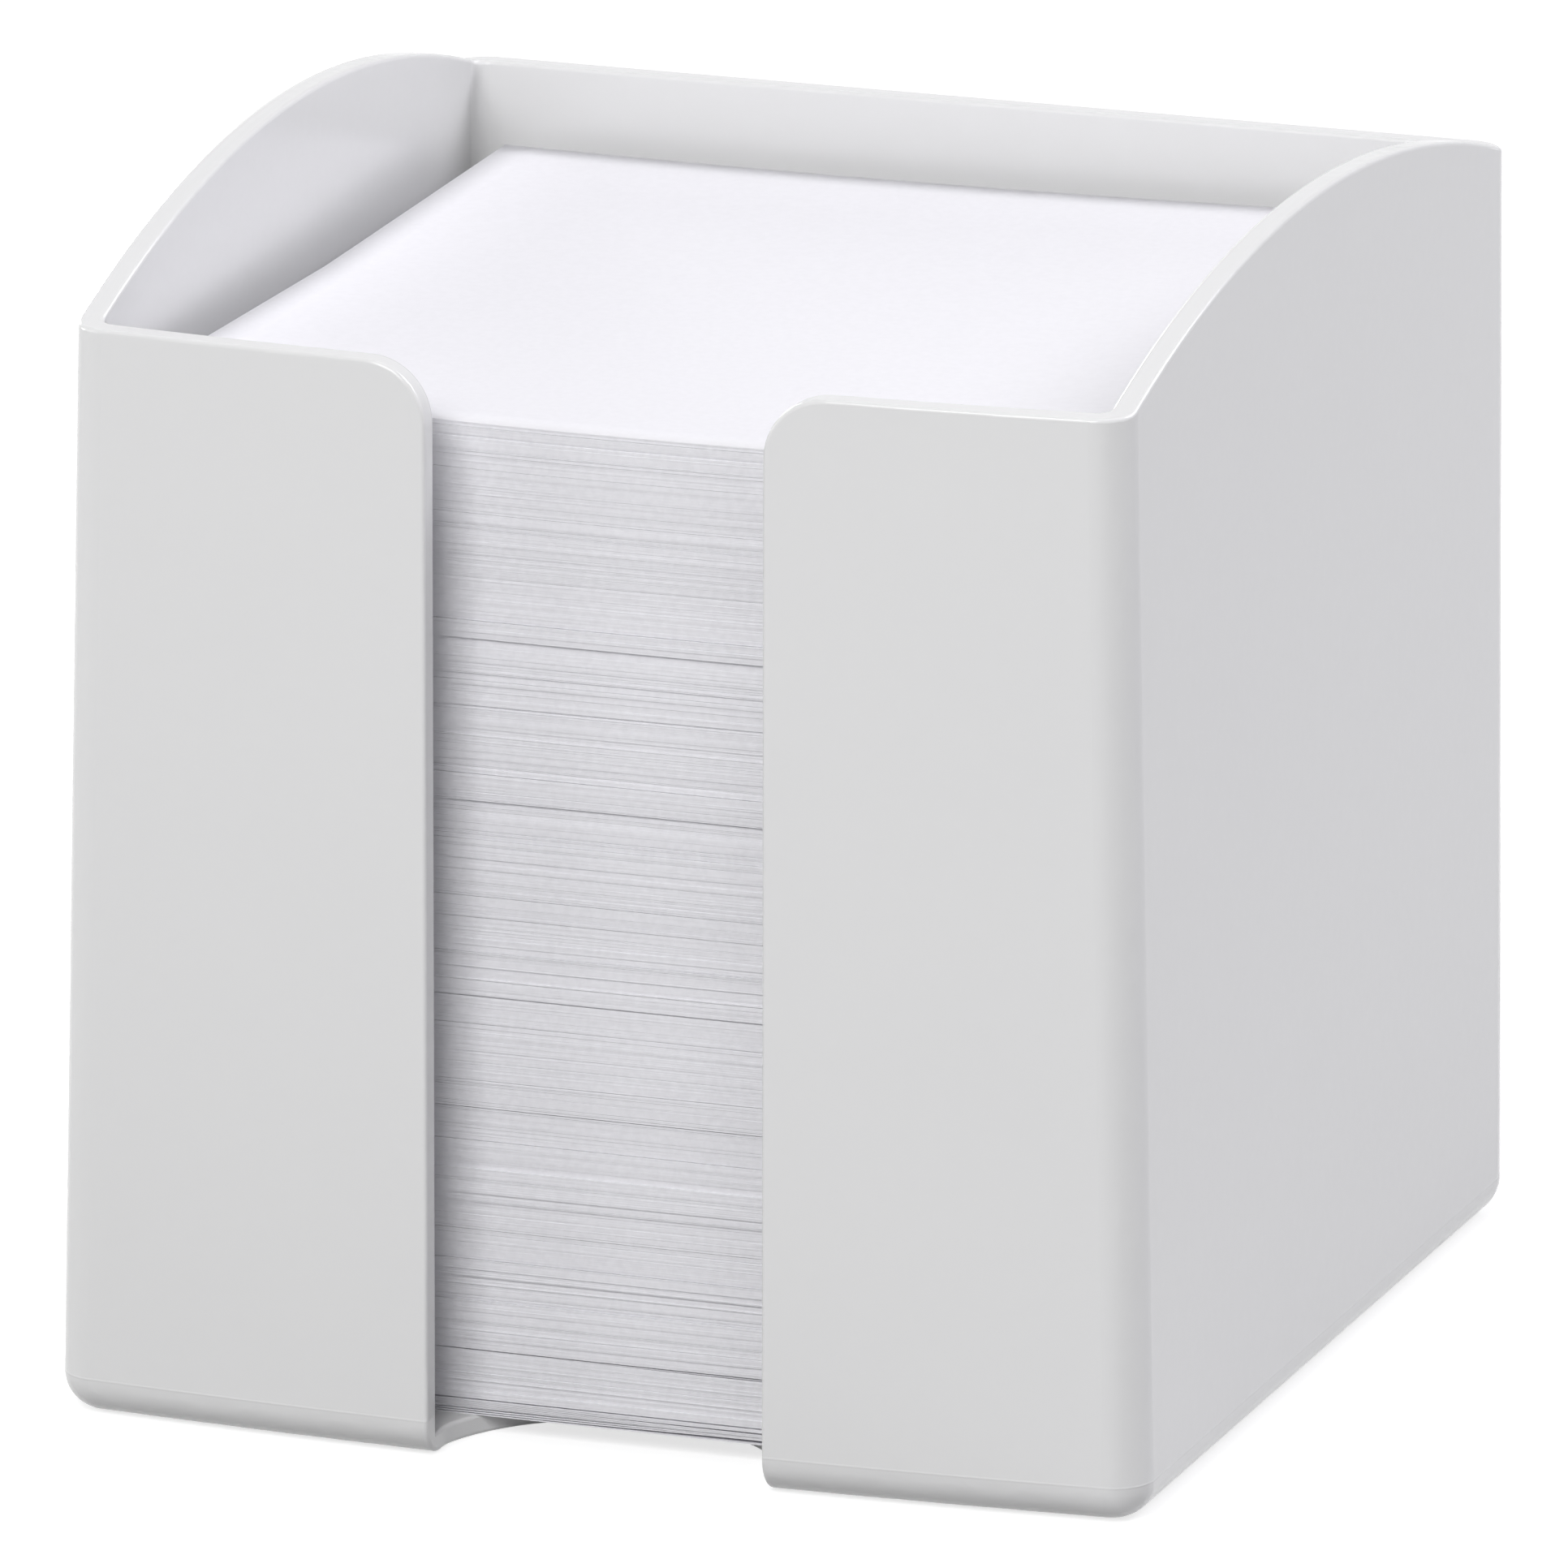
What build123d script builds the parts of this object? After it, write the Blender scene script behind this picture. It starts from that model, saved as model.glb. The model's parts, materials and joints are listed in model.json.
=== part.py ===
from build123d import *
import math
import os

# A desk box for loose note sheets: one moulded box, open at the top and down the
# middle of its front, and the stack of square sheets that lies in it. The bottom
# of the box stands on Z = 0, its front faces -Y and its right side faces +X. The
# origin is the middle of the box at the base. All sizes are in millimetres.

# ------------------------------------------------------------------ paper sizes
SHEET_SIDE = 89.0
SHEET_THICKNESS = 0.1
# Sheets that lie tight together, bundle by bundle, from the floor of the box up.
BUNDLE_SHEETS = [7, 8, 45, 24, 20, 21, 16, 27, 25, 55, 30, 25, 50, 26,
                 14, 56, 19, 51, 34, 24, 79, 41, 16, 95, 40, 36, 3]
TOP_SHEETS = 1
# How far a bundle may lie off the middle of the stack.
SHEET_JOG = 0.1

# -------------------------------------------------------------------- box sizes
WALL = 2.2
FLOOR = 1.8
FRONT_HEIGHT = 97.4
# The back rim stands this much above the front rim, and the arched side rims rise
# by this much more at their middle.
BACK_RISE = 0.6
ARCH_RISE = 7.6
# The front swells outward by this much at its middle.
FRONT_BOW = 2.2
# The free front corners of the side walls lean in by this much at the front rim,
# the rear corners by much less, and the front panels lean back a little.
FRONT_TOE_IN = 2.1
REAR_TOE_IN = 0.35
FRONT_LEAN = 1.3
CORNER_RADIUS = 3.6
# The bottom is rounded a little less than the corners, by this much.
BOTTOM_STEP = 0.2
# Rounding along the rim, the sides of the slot and the finger notch.
EDGE_RADIUS = 0.35
# Hollow round where the arched side rim meets the level front and back rims.
RIM_BLEND_RADIUS = 6.0

# ------------------------------------------------------- slot and finger notch
SLOT_WIDTH = 30.6
SLOT_OFFSET = 0.8
SLOT_CORNER_RADIUS = 5.6
# From the middle of the bowed front to the deepest point of the notch.
NOTCH_DEPTH = 16.7
# The slot's sides run straight this far past the leaning wall before the notch.
SLOT_RUN = 1.6
NOTCH_BLEND_RADIUS = 5.0

# ---------------------------------------------------------- room for the sheets
# Sideways, beside the stack at the narrow front rim, where the walls toe in.
RIM_GAP_LEFT = 2.1
RIM_GAP_RIGHT = 0.3
# Front to back, at the floor.
GAP_FRONT = 4.25
GAP_BACK = 3.25

# ------------------------------------------------------------ worked-out sizes
BACK_HEIGHT = FRONT_HEIGHT + BACK_RISE
SIDE_HEIGHT = BACK_HEIGHT + ARCH_RISE
BOX_WIDTH = SHEET_SIDE + RIM_GAP_LEFT + RIM_GAP_RIGHT + 2 * FRONT_TOE_IN + 2 * WALL
BOX_DEPTH = SHEET_SIDE + GAP_FRONT + GAP_BACK + 2 * WALL + FRONT_BOW
FRONT_CORNER_Y = -BOX_DEPTH / 2 + FRONT_BOW
BACK_Y = BOX_DEPTH / 2
SHEET_X = -BOX_WIDTH / 2 + WALL + FRONT_TOE_IN + RIM_GAP_LEFT + SHEET_SIDE / 2
SHEET_Y = FRONT_CORNER_Y + WALL + GAP_FRONT + SHEET_SIDE / 2
INNER_CORNER_RADIUS = CORNER_RADIUS - WALL
BOTTOM_RADIUS = CORNER_RADIUS - BOTTOM_STEP
# Cutting tools reach past the faces that they cut by this much.
OVERCUT = 5.0
# Two heights or widths this close count as the same.
SAME = 0.01
# The golden angle spreads the bundles' small offsets evenly round the circle.
GOLDEN_ANGLE = math.pi * (3 - math.sqrt(5))

Y_Z_PLANE = Plane(origin=(0, 0, 0), x_dir=(0, 1, 0), z_dir=(1, 0, 0))


def outline(height, inset, radius):
    """Plan of the box at one height, moved in by inset, with rounded corners."""
    lean = height / FRONT_HEIGHT
    half_front = BOX_WIDTH / 2 - FRONT_TOE_IN * lean - inset
    half_back = BOX_WIDTH / 2 - REAR_TOE_IN * lean - inset
    front_y = FRONT_CORNER_Y + FRONT_LEAN * lean + inset
    back_y = BACK_Y - inset
    with BuildSketch(Plane.XY.offset(height)) as plan:
        with BuildLine():
            ThreePointArc((-half_front, front_y), (0, front_y - FRONT_BOW), (half_front, front_y))
            Line((half_front, front_y), (half_back, back_y))
            Line((half_back, back_y), (-half_back, back_y))
            Line((-half_back, back_y), (-half_front, front_y))
        make_face()
        fillet(plan.vertices(), radius)
    return plan.sketch.face()


def leaning_block(bottom, top, inset, radius):
    """Block between two heights, with the lean and the rounded corners of the box."""
    sections = [outline(height, inset, radius) for height in (bottom, top)]
    return Solid.make_loft([section.outer_wire() for section in sections], ruled=True)


def rim_prism():
    """Everything below the rim: level at front and back, arched between them."""
    front_rim_y = FRONT_CORNER_Y + FRONT_LEAN + WALL
    back_rim_y = BACK_Y - WALL
    outer = BOX_DEPTH / 2 + OVERCUT
    middle_y = (front_rim_y + back_rim_y) / 2
    with BuildSketch(Y_Z_PLANE) as profile:
        with BuildLine():
            Polyline(
                (back_rim_y, BACK_HEIGHT),
                (outer, BACK_HEIGHT),
                (outer, -OVERCUT),
                (-outer, -OVERCUT),
                (-outer, FRONT_HEIGHT),
                (front_rim_y, FRONT_HEIGHT),
            )
            ThreePointArc(
                (front_rim_y, FRONT_HEIGHT),
                (middle_y, SIDE_HEIGHT),
                (back_rim_y, BACK_HEIGHT),
            )
        make_face()
        joints = [vertex for vertex in profile.vertices() if abs(vertex.X) < BOX_DEPTH / 2]
        fillet(joints, RIM_BLEND_RADIUS)
    return extrude(profile.sketch, BOX_WIDTH / 2 + OVERCUT, both=True)


def slot_prism():
    """The open slot in the front, which ends in a round notch in the floor."""
    left = SLOT_OFFSET - SLOT_WIDTH / 2
    right = SLOT_OFFSET + SLOT_WIDTH / 2
    front = -BOX_DEPTH / 2
    straight_end = front + FRONT_LEAN + WALL + SLOT_RUN
    with BuildSketch(Plane.XY.offset(-OVERCUT)) as plan:
        with BuildLine():
            Polyline(
                (left, straight_end),
                (left, front - OVERCUT),
                (right, front - OVERCUT),
                (right, straight_end),
            )
            ThreePointArc(
                (right, straight_end),
                (SLOT_OFFSET, front + NOTCH_DEPTH),
                (left, straight_end),
            )
        make_face()
        joints = [vertex for vertex in plan.vertices() if vertex.Y > front]
        fillet(joints, NOTCH_BLEND_RADIUS)
    return extrude(plan.sketch, SIDE_HEIGHT + 2 * OVERCUT)


def is_cut_face(face):
    """True for the faces across the wall: rim, slot sides and notch side."""
    box = face.bounding_box()
    on_rim = box.min.Z > FRONT_HEIGHT - SLOT_CORNER_RADIUS - EDGE_RADIUS
    on_slot_side = box.size.X < SAME and abs(box.min.X - SLOT_OFFSET) < SLOT_WIDTH
    across_floor = abs(box.min.Z) < SAME and abs(box.max.Z - FLOOR) < SAME
    on_notch_side = across_floor and face.geom_type == GeomType.CYLINDER
    return on_rim or on_slot_side or on_notch_side


def cut_edges(solid):
    """The long edges on both skins of the wall along the rim, slot and notch."""
    faces = [face for face in solid.faces() if is_cut_face(face)]
    edges = [edge for face in faces for edge in face.edges()]
    return [edge for edge in edges if sum(edge.is_same(other) for other in edges) == 1]


def make_note_box():
    """The one-piece moulded box."""
    top = SIDE_HEIGHT + OVERCUT
    outside = leaning_block(0, top, 0, CORNER_RADIUS)
    outside = fillet(outside.edges().group_by(Axis.Z)[0], BOTTOM_RADIUS)
    inside = leaning_block(FLOOR, top + OVERCUT, WALL, INNER_CORNER_RADIUS)
    box = (outside - inside) & rim_prism()
    box = box - slot_prism()
    slot_corners = [
        edge for edge in box.edges().filter_by(Axis.Y)
        if abs(edge.center().Z - FRONT_HEIGHT) < EDGE_RADIUS
        and abs(edge.center().X - SLOT_OFFSET) < SLOT_WIDTH / 2 + EDGE_RADIUS
    ]
    box = fillet(slot_corners, SLOT_CORNER_RADIUS)
    return fillet(cut_edges(box), EDGE_RADIUS)


def make_sheets(bottom, count, place):
    """One square bundle of sheets that lies on the height given as bottom."""
    angle = place * GOLDEN_ANGLE
    middle_x = SHEET_X + SHEET_JOG * math.cos(angle)
    middle_y = SHEET_Y + SHEET_JOG * math.sin(angle)
    thickness = count * SHEET_THICKNESS
    bundle = Solid.make_box(SHEET_SIDE, SHEET_SIDE, thickness)
    return bundle.moved(Location((middle_x - SHEET_SIDE / 2, middle_y - SHEET_SIDE / 2, bottom)))


def make_stack():
    """Every bundle of the stack and the top sheet, by node name."""
    nodes = {}
    height = FLOOR
    for place, count in enumerate(BUNDLE_SHEETS, start=1):
        nodes[f"sheet_bundle_{place:02d}"] = make_sheets(height, count, place)
        height += count * SHEET_THICKNESS
    nodes["top_sheet"] = make_sheets(height, TOP_SHEETS, 0)
    return nodes


os.makedirs("parts", exist_ok=True)
model = {"note_box": make_note_box()}
model.update(make_stack())
for name, shape in model.items():
    shape.label = name
    export_step(shape, f"parts/{name}.step")
    print(name, round(shape.volume, 1))
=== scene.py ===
import json
import logging
import math
import random
from dataclasses import dataclass, field
from enum import Enum

import bmesh
import bpy
from mathutils import Matrix, Vector


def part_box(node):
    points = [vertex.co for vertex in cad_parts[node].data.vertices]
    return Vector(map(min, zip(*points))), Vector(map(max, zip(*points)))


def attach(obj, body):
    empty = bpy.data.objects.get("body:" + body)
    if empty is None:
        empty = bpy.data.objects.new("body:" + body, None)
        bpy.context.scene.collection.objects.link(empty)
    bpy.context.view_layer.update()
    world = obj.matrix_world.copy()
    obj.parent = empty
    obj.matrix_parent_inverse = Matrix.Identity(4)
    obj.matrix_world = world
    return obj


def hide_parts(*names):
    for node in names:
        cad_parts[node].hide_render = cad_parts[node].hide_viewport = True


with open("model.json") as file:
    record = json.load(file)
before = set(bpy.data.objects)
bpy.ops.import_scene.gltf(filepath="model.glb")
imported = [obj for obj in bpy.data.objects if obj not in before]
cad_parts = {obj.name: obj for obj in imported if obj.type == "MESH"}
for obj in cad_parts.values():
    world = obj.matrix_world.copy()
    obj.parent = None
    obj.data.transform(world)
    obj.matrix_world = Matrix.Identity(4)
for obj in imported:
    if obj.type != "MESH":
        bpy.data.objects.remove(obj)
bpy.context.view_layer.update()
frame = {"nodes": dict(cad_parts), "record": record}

MM = 0.001

Socket = bpy.types.NodeSocket
Triple = tuple[float, float, float]

# Most values of a noise pattern lie between these two.
NOISE_LOW = 0.3
NOISE_HIGH = 0.7

# The light from the right is a little bluer than the rest.
COOL_TINT = (0.985, 0.98, 1.03)

logging.basicConfig(level=logging.INFO, format="%(message)s")
log = logging.getLogger("note_box")


class Parting(Enum):
    """The gap above a bundle's highest sheet, in millimetres."""

    FAINT = 0.028
    CLEAR = 0.045
    DEEP = 0.075
    WIDE = 0.13


def made_mesh(bm: bmesh.types.BMesh, name: str) -> bpy.types.Mesh:
    """Turn a finished bmesh into a mesh and free it.

    Args:
        bm: The bmesh, which can't be used afterwards.
        name: The mesh's name.

    Returns:
        The new mesh.
    """
    mesh = bpy.data.meshes.new(name)
    bm.to_mesh(mesh)
    bm.free()
    return mesh


def linked_object(name: str, data: bpy.types.ID) -> bpy.types.Object:
    """Put new data into the scene.

    Args:
        name: The object's name.
        data: A mesh, a light or a camera.

    Returns:
        The object, at the origin.
    """
    item = bpy.data.objects.new(name, data)
    bpy.context.scene.collection.objects.link(item)
    return item


def seen_rays(tree: bpy.types.NodeTree) -> Socket:
    """Tell the rays that the eye follows from those that carry light.

    Args:
        tree: The node tree that the nodes go into.

    Returns:
        A socket that is 1 for camera, glossy and transmission rays, and 0 for others.
    """
    path = tree.nodes.new("ShaderNodeLightPath")
    seen = path.outputs["Is Camera Ray"]
    for kind in ("Is Glossy Ray", "Is Transmission Ray"):
        either = tree.nodes.new("ShaderNodeMath")
        either.operation = "MAXIMUM"
        tree.links.new(seen, either.inputs[0])
        tree.links.new(path.outputs[kind], either.inputs[1])
        seen = either.outputs[0]
    return seen


class NodeGraph:
    """A new material and the few calls that its finishes need to wire it."""

    def __init__(self, name: str) -> None:
        """Start an empty material with an output and a Principled shader.

        Args:
            name: The material's name.
        """
        self.material = bpy.data.materials.new(name)
        self.material.use_nodes = True
        self.tree = self.material.node_tree
        self.tree.nodes.clear()
        self.output = self.tree.nodes.new("ShaderNodeOutputMaterial")
        self.shader = self.tree.nodes.new("ShaderNodeBsdfPrincipled")
        self.link(self.shader.outputs["BSDF"], self.output.inputs["Surface"])
        self.place = self.tree.nodes.new("ShaderNodeTexCoord").outputs["Object"]

    def link(self, source: Socket, target: Socket) -> None:
        """Join two sockets."""
        self.tree.links.new(source, target)

    def feed(self, name: str, value: Socket | float) -> None:
        """Give one of the shader's inputs a socket or a number.

        Args:
            name: The input's name.
            value: What it reads.
        """
        entry = self.shader.inputs[name]
        if isinstance(value, Socket):
            self.link(value, entry)
        else:
            entry.default_value = value

    def arithmetic(self, operation: str, first: Socket, second: float = 0.0) -> Socket:
        """Add a Math node.

        Args:
            operation: The node's operation, such as "MULTIPLY".
            first: The socket to work on.
            second: A number, where the operation takes two values.

        Returns:
            The node's output socket.
        """
        node = self.tree.nodes.new("ShaderNodeMath")
        node.operation = operation
        self.link(first, node.inputs[0])
        node.inputs[1].default_value = second
        return node.outputs[0]

    def noise(self, scale: float, octaves: float) -> Socket:
        """Add a noise pattern on the object's own coordinates.

        Args:
            scale: Noise cells per metre.
            octaves: How many times finer noise is added.

        Returns:
            The noise value's socket.
        """
        node = self.tree.nodes.new("ShaderNodeTexNoise")
        node.inputs["Scale"].default_value = scale
        node.inputs["Detail"].default_value = octaves
        self.link(self.place, node.inputs["Vector"])
        return node.outputs["Fac"]

    def spread(
        self, value: Socket, low: float, high: float, start: float = 0.0, end: float = 1.0
    ) -> Socket:
        """Map a value's range to another range.

        Args:
            value: The socket to map.
            low: Result where the value is at start.
            high: Result where the value is at end.
            start: Where the value's range begins.
            end: Where it ends.

        Returns:
            The mapped value's socket.
        """
        node = self.tree.nodes.new("ShaderNodeMapRange")
        node.interpolation_type = "SMOOTHSTEP"
        self.link(value, node.inputs["Value"])
        node.inputs["From Min"].default_value = start
        node.inputs["From Max"].default_value = end
        node.inputs["To Min"].default_value = low
        node.inputs["To Max"].default_value = high
        return node.outputs["Result"]

    def blend(self, share: Socket, first: Triple, second: Triple) -> Socket:
        """Mix two colours by a share.

        Args:
            share: Socket from 0, the first colour, to 1, the second.
            first: Linear colour.
            second: Linear colour.

        Returns:
            The mixed colour's socket.
        """
        node = self.tree.nodes.new("ShaderNodeMix")
        node.data_type = "RGBA"
        self.link(share, node.inputs["Factor"])
        colours = (entry for entry in node.inputs if entry.type == "RGBA")
        for entry, colour in zip(colours, (first, second)):
            entry.default_value = (*colour, 1.0)
        return next(result for result in node.outputs if result.type == "RGBA")

    def bump(self, height: Socket, depth: float, under: Socket | None = None) -> Socket:
        """Turn a height into a bumped normal.

        Args:
            height: Height socket, 0 to 1.
            depth: Real height of the relief in metres.
            under: Normal from a bump below this one.

        Returns:
            The normal's socket.
        """
        node = self.tree.nodes.new("ShaderNodeBump")
        node.inputs["Distance"].default_value = depth
        self.link(height, node.inputs["Height"])
        if under is not None:
            self.link(under, node.inputs["Normal"])
        return node.outputs["Normal"]


@dataclass(frozen=True)
class WhitePlastic:
    """Glossy opaque white plastic with a fine skin and a faint mould line."""

    tone: Triple = (0.755, 0.755, 0.755)
    deep_tone: Triple = (0.742, 0.742, 0.744)
    cloud_scale: float = 60.0
    cloud_octaves: float = 2.0
    smooth: float = 0.15
    dull: float = 0.22
    gloss_scale: float = 900.0
    gloss_octaves: float = 3.0
    ior: float = 1.5
    skin_scale: float = 2200.0
    skin_octaves: float = 2.0
    skin_relief: float = 0.0015 * MM
    mould_line_height: float = 3.5 * MM
    mould_line_width: float = 0.16 * MM
    mould_line_relief: float = 0.02 * MM

    def material(self) -> bpy.types.Material:
        """Build the material.

        Returns:
            The finished material.
        """
        graph = NodeGraph("white_plastic")
        cloud = graph.noise(self.cloud_scale, self.cloud_octaves)
        graph.feed("Base Color", graph.blend(cloud, self.tone, self.deep_tone))
        gloss = graph.noise(self.gloss_scale, self.gloss_octaves)
        roughness = graph.spread(gloss, self.smooth, self.dull, NOISE_LOW, NOISE_HIGH)
        graph.feed("Roughness", roughness)
        graph.feed("IOR", self.ior)
        skin = graph.noise(self.skin_scale, self.skin_octaves)
        skin_normal = graph.bump(skin, self.skin_relief)
        ridge_normal = graph.bump(self.mould_line(graph), self.mould_line_relief, skin_normal)
        graph.feed("Normal", ridge_normal)
        return graph.material

    def mould_line(self, graph: NodeGraph) -> Socket:
        """Draw the thin ridge that runs round the box above its base.

        Args:
            graph: The material's nodes.

        Returns:
            A height socket, 1 on the line and 0 away from it.
        """
        split = graph.tree.nodes.new("ShaderNodeSeparateXYZ")
        graph.link(graph.place, split.inputs[0])
        above = graph.arithmetic("SUBTRACT", split.outputs["Z"], self.mould_line_height)
        off_line = graph.arithmetic("ABSOLUTE", above)
        return graph.spread(off_line, 1.0, 0.0, 0.0, self.mould_line_width)


@dataclass(frozen=True)
class NotePaper:
    """Smooth uncoated white paper, a little blue, with fine fibres."""

    name: str
    tone: Triple = (0.862, 0.855, 0.888)
    fibre_tone: Triple = (0.845, 0.838, 0.87)
    fibre_scale: float = 1400.0
    fibre_octaves: float = 4.0
    relief: float = 0.004 * MM
    smooth: float = 0.75
    dull: float = 0.9
    shine: float = 0.2

    def material(self) -> bpy.types.Material:
        """Build the material.

        Returns:
            The finished material.
        """
        graph = NodeGraph(self.name)
        fibres = graph.noise(self.fibre_scale, self.fibre_octaves)
        share = graph.spread(fibres, 0.0, 1.0, NOISE_LOW, NOISE_HIGH)
        graph.feed("Base Color", graph.blend(share, self.tone, self.fibre_tone))
        graph.feed("Roughness", graph.spread(fibres, self.smooth, self.dull))
        graph.feed("Specular IOR Level", self.shine)
        graph.feed("Normal", graph.bump(fibres, self.relief))
        return graph.material


@dataclass
class NoteBox:
    """The moulded box, shown as the CAD node itself."""

    node: str = "note_box"
    finish: WhitePlastic = field(default_factory=WhitePlastic)

    def dress(self) -> bpy.types.Object:
        """Give the box its plastic.

        Returns:
            The box's object.
        """
        box = frame["nodes"][self.node]
        box.data.materials.clear()
        box.data.materials.append(self.finish.material())
        return box


@dataclass(frozen=True)
class StackShape:
    """How loose sheets lie: all ripple, and the upper ones curl up at their edges."""

    middle: Vector
    side: float
    bottom: float
    top: float
    side_curl: float = 0.42 * MM
    corner_curl: float = 0.3 * MM
    front_left_curl: float = 0.7 * MM
    back_curl: float = 0.4 * MM
    back_right_curl: float = 0.85 * MM
    curl_reach: float = 34.0 * MM
    ripple: float = 0.05 * MM
    # Radians of the ripple across half a side, and for each millimetre of height.
    first_wave: tuple[float, float] = (3.1, 0.21)
    second_wave: tuple[float, float] = (1.3, 0.37)
    rest_depth: float = 3.0 * MM

    def curl(self, u: float, v: float) -> float:
        """How far the topmost sheet rises above a flat one.

        Args:
            u: Place across the stack, from -1 at the left to 1 at the right.
            v: Place along the stack, from -1 at the front to 1 at the back.

        Returns:
            The rise in metres.
        """
        back = (1 + v) / 2
        right = (1 + u) / 2
        sides = u * u * (self.side_curl + self.corner_curl * abs(v))
        back_right = self.back_right_curl * back * right ** 2
        front_left = self.front_left_curl * max(0.0, -v) * max(0.0, -u) ** 3
        return sides + (back_right + front_left) + self.back_curl * back * (1 - u * u)

    def wave(self, u: float, z: float) -> float:
        """How the ripple runs across and up the stack.

        Args:
            u: Place across the stack, from -1 at the left to 1 at the right.
            z: Height in the flat stack, in metres.

        Returns:
            The ripple's share, from -1 to 1.
        """
        across, up = self.first_wave
        other_across, other_up = self.second_wave
        first = math.sin(across * u + up * z / MM)
        return first * math.cos(other_across * u + other_up * z / MM)

    def level(self, x: float, y: float, z: float) -> float:
        """Where paper really lies that would be at a height in a flat stack.

        Args:
            x: Place in the row frame, in metres.
            y: Place in the row frame, in metres.
            z: Height in the flat stack, in metres.

        Returns:
            The real height in metres.
        """
        u = 2 * (x - self.middle.x) / self.side
        v = 2 * (y - self.middle.y) / self.side
        near_top = max(0.0, 1 - (self.top - z) / self.curl_reach)
        off_floor = min(1.0, max(0.0, (z - self.bottom) / self.rest_depth))
        below_top = min(1.0, (self.top - z) / self.rest_depth)
        ripple = self.ripple * self.wave(u, z) * (off_floor * below_top)
        return z + self.curl(u, v) * near_top ** 2 + ripple


@dataclass(frozen=True)
class Gape:
    """Room between sheets that gathers into one gap towards the right of the stack."""

    # How many sheets are left out for the room, and how many lie below where it gathers.
    sheets: int
    above: int
    start: float = -8.0 * MM
    end: float = 15.0 * MM

    def share(self, x: float) -> float:
        """How far the room has gathered at a place, from 0 at the left to 1."""
        reach = min(1.0, max(0.0, (x - self.start) / (self.end - self.start)))
        return reach * reach * (3 - 2 * reach)


@dataclass
class SheetBundle:
    """A run of loose sheets that lie tight together between two partings."""

    node: str
    body: str
    seed: int
    parting: Parting
    shape: StackShape
    finish: bpy.types.Material
    lean: float
    gape: Gape | None = None
    # Thickness of a sheet with the room above it.
    sheet: float = 0.1 * MM
    segments: int = 11
    gaping_segments: int = 30
    # Room above a sheet, as a share of that: always a little, and here and there more.
    tight_gap: float = 0.02
    loose_chance: float = 0.16
    loose_gap: tuple[float, float] = (0.05, 0.28)
    # Sheets are jogged in clusters. Each is off its cluster by about the fringe more, and
    # turned by about so many radians.
    cluster_chance: float = 0.14
    jog: float = 0.036 * MM
    fringe: float = 0.012 * MM
    turn: float = 0.0006

    def template(self, low: Vector, high: Vector) -> bpy.types.Mesh:
        """One flat sheet, centred, one unit thick, with cuts where it can bend.

        Args:
            low: The bundle's lowest corner.
            high: The bundle's highest corner.

        Returns:
            A mesh that the bundle's sheets are copied from.
        """
        bm = bmesh.new()
        bmesh.ops.create_cube(bm, size=1.0)
        bmesh.ops.scale(bm, vec=(high.x - low.x, high.y - low.y, 1.0), verts=bm.verts)
        deep = [e for e in bm.edges if abs((e.verts[0].co - e.verts[1].co).y) > self.sheet]
        bmesh.ops.subdivide_edges(bm, edges=deep, cuts=1, use_grid_fill=True)
        wide = [e for e in bm.edges if abs((e.verts[0].co - e.verts[1].co).x) > self.sheet]
        cuts = self.gaping_segments if self.gape else self.segments
        bmesh.ops.subdivide_edges(bm, edges=wide, cuts=cuts, use_grid_fill=True)
        return made_mesh(bm, "sheet_template")

    def gap(self, chance: random.Random) -> float:
        """Draw the room above one sheet.

        Args:
            chance: The bundle's own random numbers.

        Returns:
            The gap in metres.
        """
        loose = chance.random() < self.loose_chance
        extra = chance.uniform(*self.loose_gap)
        return self.tight_gap * self.sheet + loose * extra * self.sheet

    def levels(
        self, count: int, height: float, chance: random.Random
    ) -> list[tuple[float, float]]:
        """Where each sheet lies in the bundle.

        Args:
            count: Sheets in the bundle.
            height: The bundle's height in metres.
            chance: The bundle's own random numbers.

        Returns:
            The bottom and top of each sheet above the bundle's bottom, in metres.
        """
        gaps = [self.gap(chance) for _ in range(count)]
        gaps[-1] = self.parting.value * MM
        paper = (height - sum(gaps)) / count
        spans = []
        level = 0.0
        for gap in gaps:
            spans.append((level, level + paper))
            level += paper + gap
        return spans

    def spread(self, spans: list[tuple[float, float]]) -> list[Triple]:
        """Take out the gape's sheets and share their room among those that are left.

        Args:
            spans: The bottom and top of each sheet in the full bundle, in metres.

        Returns:
            The bottom and top of each sheet at the left, and how much lower or higher it
            lies where the room has gathered.
        """
        if self.gape is None:
            return [(bottom, top, 0.0) for bottom, top in spans]
        left = spans[: len(spans) - self.gape.sheets]
        room = spans[-1][1] - left[-1][1]
        placed = []
        for number, (bottom, top) in enumerate(left):
            even = room * number / (len(left) - 1)
            gathered = room if number >= self.gape.above else 0.0
            placed.append((bottom + even, top + even, gathered - even))
        return placed

    def offset(self, amount: float, chance: random.Random) -> Vector:
        """Draw a level offset that is seldom larger than twice an amount."""
        return Vector((chance.gauss(0, amount), chance.gauss(0, amount), 0))

    def lay(
        self, verts: list[bmesh.types.BMVert], bottom: float, top: float, gather: float
    ) -> None:
        """Bring a copy of the template to its height and bend it like the stack.

        Args:
            verts: The copy's vertices, those of the underside below zero.
            bottom: Height of the underside in a flat stack, in metres.
            top: Height of the upper side in a flat stack, in metres.
            gather: How much lower or higher it lies where the room has gathered.
        """
        for vert in verts:
            flat = bottom if vert.co.z < 0 else top
            if self.gape:
                flat += gather * self.gape.share(vert.co.x)
            vert.co.z = self.shape.level(vert.co.x, vert.co.y, flat)

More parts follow.
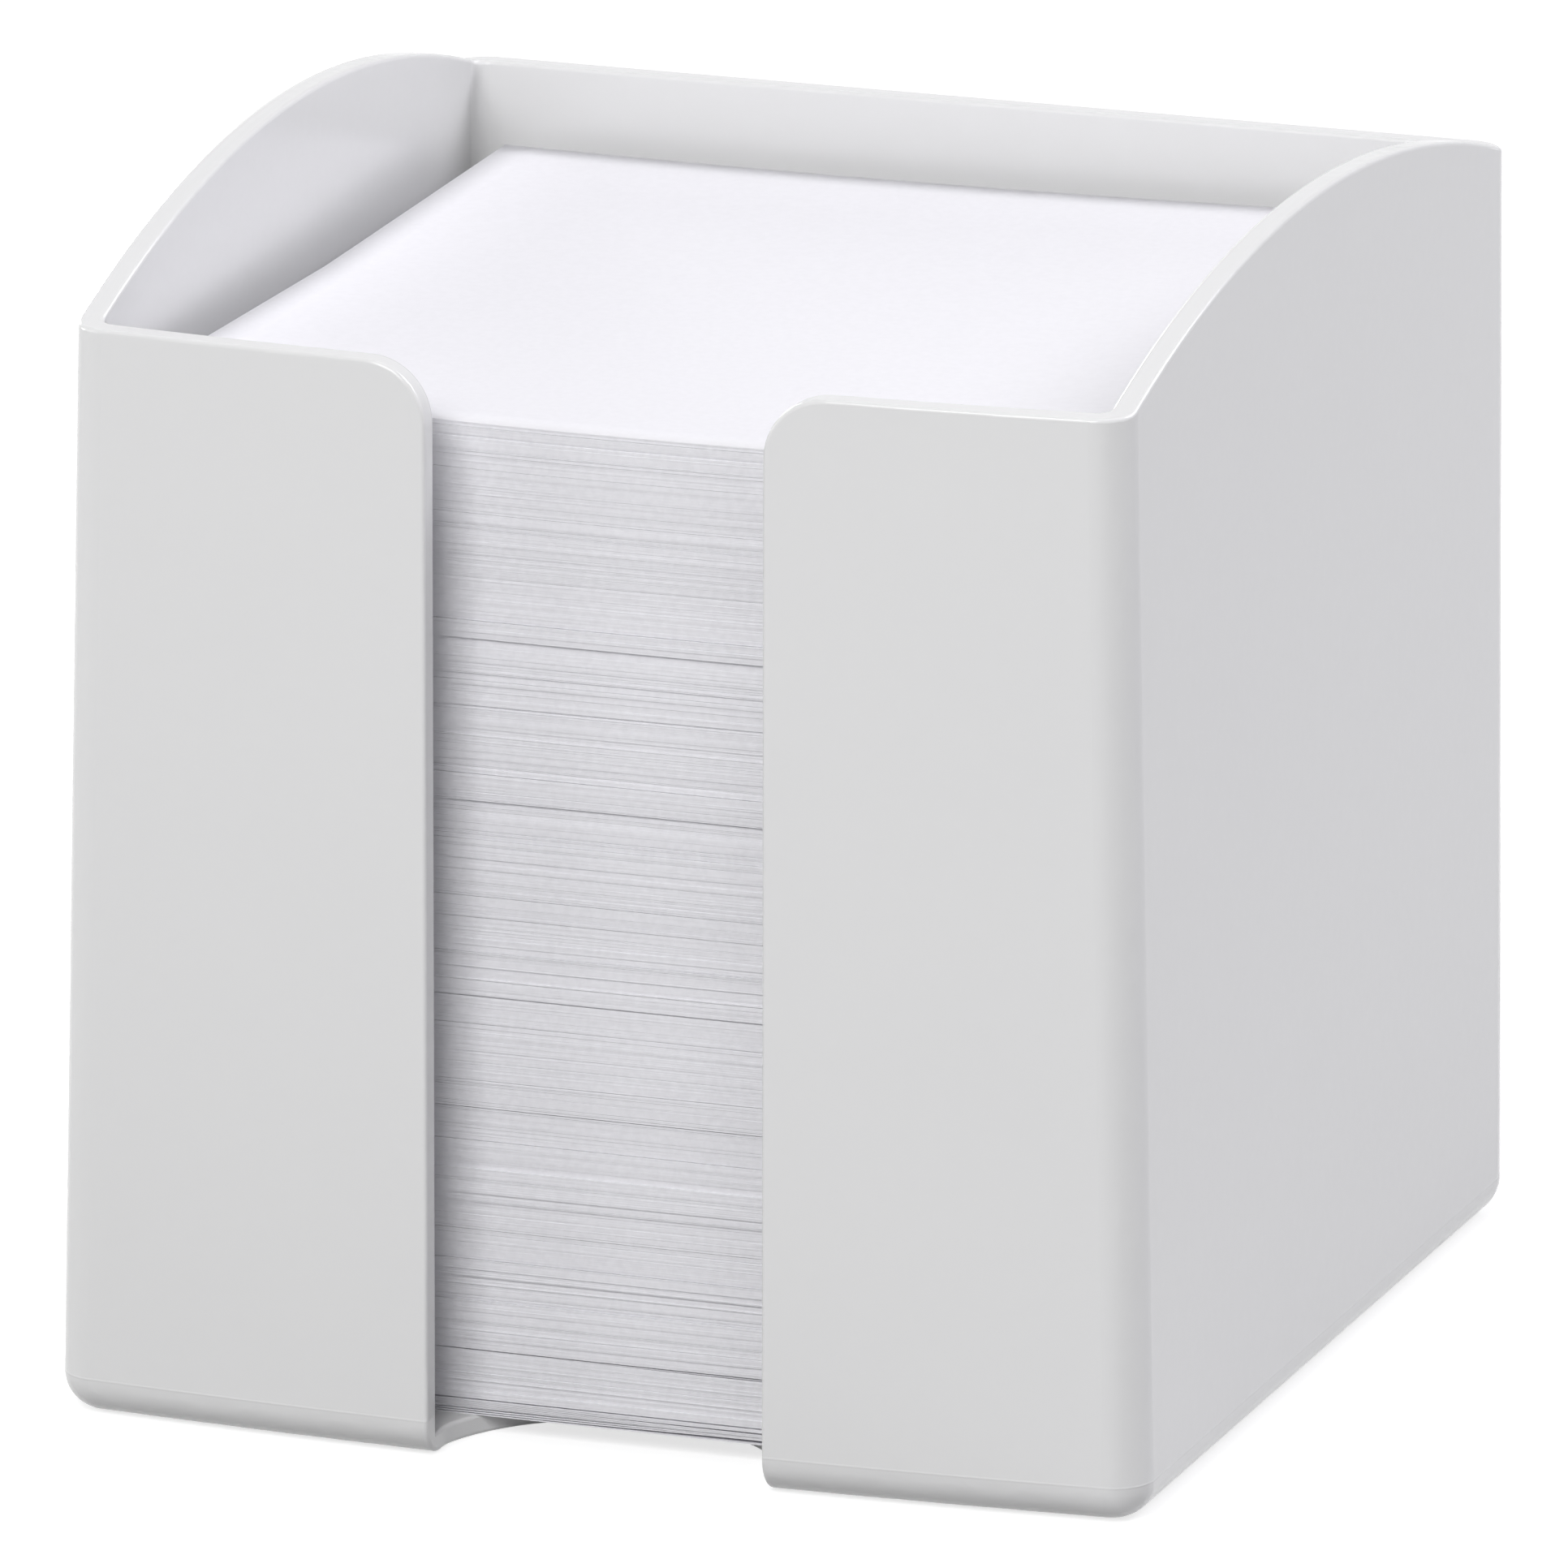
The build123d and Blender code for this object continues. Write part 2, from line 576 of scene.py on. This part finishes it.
    def build(self) -> bpy.types.Object:
        """Make the bundle's sheets and put them in the node's place.

        Returns:
            The bundle's object, riding on its body.
        """
        chance = random.Random(self.seed)
        low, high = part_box(self.node)
        centre = (low + high) / 2
        height = high.z - low.z
        template = self.template(low, high)
        sheets = self.spread(self.levels(round(height / self.sheet), height, chance))
        bm = bmesh.new()
        cluster = Vector((0, 0, 0))
        for number, (bottom, top, gather) in enumerate(sheets):
            if number == 0 or chance.random() < self.cluster_chance:
                cluster = self.offset(self.jog, chance)
            old = len(bm.verts)
            bm.from_mesh(template)
            bm.verts.ensure_lookup_table()
            verts = bm.verts[old:]
            shift = cluster + self.offset(self.fringe, chance)
            shift.y += self.lean * ((bottom + top) / 2 - height / 2)
            turn = Matrix.Rotation(chance.gauss(0, self.turn), 4, "Z")
            place = Matrix.Translation(centre.xy.to_3d() + shift) @ turn
            bmesh.ops.transform(bm, matrix=place, verts=verts)
            self.lay(verts, low.z + bottom, low.z + top, gather)
        mesh = made_mesh(bm, self.node + "_sheets")
        bpy.data.meshes.remove(template)
        mesh.materials.append(self.finish)
        piece = linked_object(self.node + "_sheets", mesh)
        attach(piece, self.body)
        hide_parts(self.node)
        return piece


@dataclass
class TopSheet:
    """The first sheet to take, a little dished and curled at its corners."""

    shape: StackShape
    finish: bpy.types.Material
    node: str = "top_sheet"
    body: str = "top_sheet"
    segments: int = 28
    # Faces that point up or down by more than this are smooth, those of the edge flat.
    level_face: float = 0.5

    def build(self) -> bpy.types.Object:
        """Make the sheet.

        Returns:
            The sheet's object, riding on its body.
        """
        low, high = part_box(self.node)
        centre = (low + high) / 2
        bm = bmesh.new()
        bmesh.ops.create_grid(
            bm, x_segments=self.segments, y_segments=self.segments, size=0.5
        )
        bmesh.ops.scale(bm, vec=(high.x - low.x, high.y - low.y, 1.0), verts=bm.verts)
        bmesh.ops.translate(bm, vec=(centre.x, centre.y, low.z), verts=bm.verts)
        made = bmesh.ops.extrude_face_region(bm, geom=bm.faces[:])
        raised = [item for item in made["geom"] if isinstance(item, bmesh.types.BMVert)]
        bmesh.ops.translate(bm, vec=(0, 0, high.z - low.z), verts=raised)
        for vert in bm.verts:
            vert.co.z = self.shape.level(vert.co.x, vert.co.y, vert.co.z)
        bmesh.ops.recalc_face_normals(bm, faces=bm.faces)
        mesh = made_mesh(bm, "top_note")
        for face in mesh.polygons:
            face.use_smooth = abs(face.normal.z) > self.level_face
        mesh.materials.append(self.finish)
        piece = linked_object("top_note", mesh)
        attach(piece, self.body)
        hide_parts(self.node)
        return piece


@dataclass
class NoteStack:
    """All the loose sheets, bundle by bundle, with the top sheet on them."""

    seed: int = 400
    # Metres that a bundle leans to the back for each metre of its height.
    most_lean: float = 0.035
    leans: dict[int, float] = field(default_factory=lambda: {22: 0.07, 23: -0.07})
    # The bundles under each parting, counted from the bottom; the rest are faint.
    partings: dict[Parting, tuple[int, ...]] = field(default_factory=lambda: {
        Parting.WIDE: (2, 3),
        Parting.DEEP: (11,),
        Parting.CLEAR: (7, 8, 10, 12, 13, 15, 16, 17, 20, 22, 23),
    })
    gapes: dict[int, Gape] = field(default_factory=lambda: {
        1: Gape(sheets=3, above=1),
        2: Gape(sheets=2, above=3),
        3: Gape(sheets=1, above=43),
    })
    # The paper on the sheets' edges, and its fibres, are a few percent darker than the top
    # paper: painted shade on the front of the stack.
    shaded_edge_paper: NotePaper = NotePaper(
        name="sheet_edges_painted_shade", tone=(0.835, 0.83, 0.86), fibre_tone=(0.795, 0.79, 0.82)
    )
    face_paper: NotePaper = NotePaper(name="top_paper")

    def parting(self, number: int) -> Parting:
        """How far the sheets gape above a bundle.

        Args:
            number: The bundle's number from the bottom.

        Returns:
            The parting above that bundle.
        """
        for parting, numbers in self.partings.items():
            if number in numbers:
                return parting
        return Parting.FAINT

    def stack_shape(self) -> StackShape:
        """Fit the curl and the ripple to the stack.

        Returns:
            The shape that every sheet follows.
        """
        low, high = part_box("top_sheet")
        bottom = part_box("sheet_bundle_01")[0].z
        middle = (low + high) / 2
        return StackShape(middle=middle, side=high.x - low.x, bottom=bottom, top=high.z)

    def build(self) -> list[bpy.types.Object]:
        """Make every bundle and the top sheet.

        Returns:
            The pieces from the bottom up.
        """
        bodies = frame["record"]["behaviour"]["bodies"]
        owner = {node: body for body, nodes in bodies.items() for node in nodes}
        shape = self.stack_shape()
        edges = self.shaded_edge_paper.material()
        chance = random.Random(self.seed)
        pieces = []
        for node in sorted(n for n in owner if n.startswith("sheet_bundle_")):
            number = int(node.rsplit("_", 1)[1])
            # One number is drawn for every bundle, also where a fixed lean is used.
            drawn = chance.uniform(-self.most_lean, self.most_lean)
            bundle = SheetBundle(
                node=node,
                body=owner[node],
                seed=self.seed + number,
                parting=self.parting(number),
                shape=shape,
                finish=edges,
                lean=self.leans.get(number, drawn),
                gape=self.gapes.get(number),
            )
            pieces.append(bundle.build())
            log.info("%s: %d faces", node, len(pieces[-1].data.polygons))
        pieces.append(TopSheet(shape, self.face_paper.material()).build())
        log.info("top sheet: %d faces", len(pieces[-1].data.polygons))
        return pieces


@dataclass(frozen=True)
class SoftLamp:
    """One square soft light, in watts and metres, aimed at the object."""

    name: str
    power: float
    size: float
    place: Triple
    tint: Triple = (1.0, 1.0, 1.0)
    aim: Triple = (0.0, 0.0, 0.05)

    def build(self) -> bpy.types.Object:
        """Make the lamp.

        Returns:
            The lamp's object.
        """
        data = bpy.data.lights.new(self.name, "AREA")
        data.energy = self.power
        data.size = self.size
        data.color = self.tint
        lamp = linked_object(self.name, data)
        beam = Vector(self.aim) - Vector(self.place)
        lamp.location = self.place
        lamp.rotation_euler = beam.to_track_quat("-Z", "Y").to_euler()
        return lamp


@dataclass(frozen=True)
class Floor:
    """The pale floor: white to the eye, less bright in the light that it returns."""

    side: float = 40.0
    tone: Triple = (0.42, 0.42, 0.42)
    deep_share: float = 0.98
    grain_scale: float = 3.0
    grain_octaves: float = 2.0
    # Added to what the eye sees of the floor, which brings it to white.
    lift: float = 0.72

    def material(self) -> bpy.types.Material:
        """Build the floor's material.

        Returns:
            The finished material.
        """
        graph = NodeGraph("floor_white")
        grain = graph.noise(self.grain_scale, self.grain_octaves)
        deep_tone = tuple(self.deep_share * value for value in self.tone)
        graph.feed("Base Color", graph.blend(grain, self.tone, deep_tone))
        graph.feed("Roughness", 1.0)
        graph.feed("Specular IOR Level", 0.0)
        glow = graph.tree.nodes.new("ShaderNodeEmission")
        strength = graph.arithmetic("MULTIPLY", seen_rays(graph.tree), self.lift)
        graph.link(strength, glow.inputs["Strength"])
        both = graph.tree.nodes.new("ShaderNodeAddShader")
        graph.link(graph.shader.outputs["BSDF"], both.inputs[0])
        graph.link(glow.outputs["Emission"], both.inputs[1])
        graph.link(both.outputs["Shader"], graph.output.inputs["Surface"])
        return graph.material

    def build(self) -> bpy.types.Object:
        """Make the floor.

        Returns:
            The floor's object, which isn't part of the object.
        """
        bm = bmesh.new()
        bmesh.ops.create_grid(bm, x_segments=2, y_segments=2, size=self.side / 2)
        mesh = made_mesh(bm, "floor")
        mesh.materials.append(self.material())
        floor = linked_object("floor", mesh)
        return floor


@dataclass(frozen=True)
class Studio:
    """The floor, the white world and the soft lamps."""

    floor: Floor = Floor()
    world_light: float = 0.1
    lamps: tuple[SoftLamp, ...] = (
        SoftLamp("overhead", power=1.2, size=1.0, place=(0.0, 0.1, 1.3)),
        SoftLamp("back_left", power=8.0, size=0.5, place=(-1.1, 1.2, 0.3)),
        SoftLamp("front_high", power=18.0, size=0.8, place=(-0.02, -1.2, 1.1)),
        SoftLamp("front_right", power=2.2, size=0.8, place=(1.1, -1.0, 0.6), tint=COOL_TINT),
        SoftLamp("right_back", power=1.2, size=0.8, place=(1.3, 0.7, 0.6), tint=COOL_TINT),
        SoftLamp("right_back_high", power=13.5, size=0.8, place=(0.9, 0.8, 1.1), tint=COOL_TINT),
        SoftLamp("left_side", power=3.2, size=0.8, place=(-1.3, -0.6, 0.6)),
        SoftLamp("left_low", power=3.8, size=0.3, place=(-1.4, 0.2, 0.15)),
    )

    def world(self) -> bpy.types.World:
        """Make the world: white to the eye and in reflections, and an even soft light.

        Returns:
            The scene's world.
        """
        world = bpy.data.worlds.new("studio_world")
        bpy.context.scene.world = world
        world.use_nodes = True
        tree = world.node_tree
        tree.nodes.clear()
        output = tree.nodes.new("ShaderNodeOutputWorld")
        mix = tree.nodes.new("ShaderNodeMixShader")
        tree.links.new(seen_rays(tree), mix.inputs[0])
        for entry, strength in zip(mix.inputs[1:], (self.world_light, 1.0)):
            light = tree.nodes.new("ShaderNodeBackground")
            light.inputs["Color"].default_value = (1, 1, 1, 1)
            light.inputs["Strength"].default_value = strength
            tree.links.new(light.outputs[0], entry)
        tree.links.new(mix.outputs[0], output.inputs["Surface"])
        return world

    def build(self) -> None:
        """Make the floor, the world and the lamps."""
        self.floor.build()
        self.world()
        for lamp in self.lamps:
            lamp.build()


@dataclass(frozen=True)
class PhotoCamera:
    """The camera at the photograph's angle: a long lens from the front right.

    Angles are in degrees, the lens and the sensor in millimetres, the rest in metres.
    """

    azimuth: float = 20.0334
    elevation: float = 15.8956
    roll: float = -0.179
    distance: float = 1892.0237 * MM
    aim: Triple = (1.0034 * MM, -3.518 * MM, 49.315 * MM)
    lens: float = 497.302
    sensor: float = 36.0
    nearest: float = 0.05
    farthest: float = 100.0

    def axes(self) -> tuple[Vector, Vector, Vector]:
        """Work out how the camera is turned.

        Returns:
            The ways to the right, up and back from the object, each of length 1.
        """
        azimuth = math.radians(self.azimuth)
        elevation = math.radians(self.elevation)
        roll = math.radians(self.roll)
        back = Vector((
            math.sin(azimuth) * math.cos(elevation),
            -math.cos(azimuth) * math.cos(elevation),
            math.sin(elevation),
        ))
        level = Vector((math.cos(azimuth), math.sin(azimuth), 0.0))
        upright = back.cross(level)
        right = math.cos(roll) * level + math.sin(roll) * upright
        up = math.cos(roll) * upright - math.sin(roll) * level
        return right, up, back

    def build(self) -> bpy.types.Object:
        """Make the camera and set it as the scene's.

        Returns:
            The camera's object.
        """
        data = bpy.data.cameras.new("photo_camera")
        data.sensor_width = self.sensor
        data.lens = self.lens
        data.clip_start = self.nearest
        data.clip_end = self.farthest
        camera = linked_object("photo_camera", data)
        right, up, back = self.axes()
        turn = Matrix((right, up, back)).transposed().to_4x4()
        place = Vector(self.aim) + back * self.distance
        camera.matrix_world = Matrix.Translation(place) @ turn
        bpy.context.scene.camera = camera
        return camera


def main() -> None:
    """Build the camera, the studio, the box and its sheets."""
    bpy.context.scene.view_settings.view_transform = "Standard"
    PhotoCamera().build()
    Studio().build()
    box = NoteBox().dress()
    log.info("note box: %d faces", len(box.data.polygons))
    pieces = NoteStack().build()
    log.info("paper pieces: %d", len(pieces))


if __name__ == "__main__":
    main()
